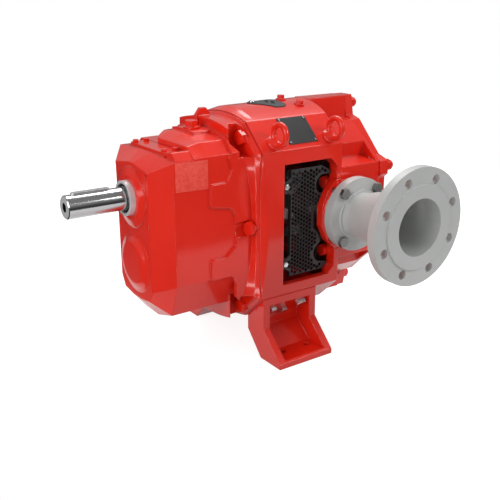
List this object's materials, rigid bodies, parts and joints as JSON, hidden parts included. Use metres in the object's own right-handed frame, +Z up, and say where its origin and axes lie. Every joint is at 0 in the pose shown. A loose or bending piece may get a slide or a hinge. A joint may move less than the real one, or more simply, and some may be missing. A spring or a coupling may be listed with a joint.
{
  "type": "rotary lobe pump",
  "caption": "Rotary lobe pump: timing gearbox, guarded open lantern, rotor casing with flanged side ports, keyed drive shaft and cast feet.",
  "frame": {"origin": "centre of the four foot bolt holes on the base plane", "axes": "+X from the drive shaft end to the pump cover, +Y from the near port to the far port, +Z up"},
  "size_m": [0.656, 0.632, 0.4857],
  "materials": {
    "housing_paint": "gloss red enamel on cast iron",
    "guard_paint": "satin black powder coat",
    "plate_paint": "dark anodised, bare",
    "flange_steel": "blasted light grey stainless casting",
    "shaft_steel": "ground and polished",
    "bright_screw": "zinc plated",
    "dark_bolt": "dark oiled steel",
    "gear_steel": "hardened and ground",
    "wear_steel": "lapped",
    "rubber": "moulded"
  },
  "bodies": {
    "pump": {"gearbox_housing": "housing_paint", "inspection_cover": "housing_paint", "inspection_cover_screws": "housing_paint", "breather_plug": "housing_paint", "gearbox_flange_bolts": "housing_paint", "intermediate_housing": "housing_paint", "roof_plugs": "housing_paint", "eye_bolts": "housing_paint", "rotor_casing": "housing_paint", "casing_bolts": "housing_paint", "pump_cover": "housing_paint", "cover_cap_nuts": "housing_paint", "foot_near": "housing_paint", "foot_far": "housing_paint", "side_guard_near": "guard_paint", "side_guard_far": "guard_paint", "roof_guard": "guard_paint", "nameplate": "plate_paint", "nameplate_rivets": "bright_screw", "guard_screws": "bright_screw", "shaft_seal_sleeve": "shaft_steel", "shaft_lip_seal": "rubber", "cover_studs": "dark_bolt", "wear_plate_rear": "wear_steel", "wear_plate_front": "wear_steel", "seal_cartridge_upper": "wear_steel", "seal_cartridge_lower": "wear_steel", "port_spool_near": "flange_steel", "port_spool_far": "flange_steel", "port_gasket_near": "rubber", "port_gasket_far": "rubber", "port_bolts_near": "dark_bolt", "port_bolts_far": "dark_bolt", "bearing_outer_rings": "gear_steel", "foot_screws_near": "bright_screw", "foot_screws_far": "bright_screw"},
    "drive": {"drive_shaft": "shaft_steel", "shaft_key": "gear_steel", "drive_gear": "gear_steel", "upper_rotor": "rubber", "upper_rotor_bolt": "shaft_steel", "drive_bearing_rings": "gear_steel"},
    "driven": {"driven_shaft": "shaft_steel", "driven_gear": "gear_steel", "lower_rotor": "rubber", "lower_rotor_bolt": "shaft_steel", "driven_bearing_rings": "gear_steel"}
  },
  "joints": [
    {"name": "drive_shaft_spin", "type": "hinge", "parent": "pump", "child": "drive", "pos_m": [0, 0, 0.3285], "axis": [1, 0, 0], "continuous": true},
    {"name": "driven_shaft_spin", "type": "hinge", "parent": "pump", "child": "driven", "pos_m": [0, 0, 0.2035], "axis": [1, 0, 0], "continuous": true}
  ],
  "couplings": [
    {"joint": "driven_shaft_spin", "follows": "drive_shaft_spin", "ratio": -1}
  ]
}
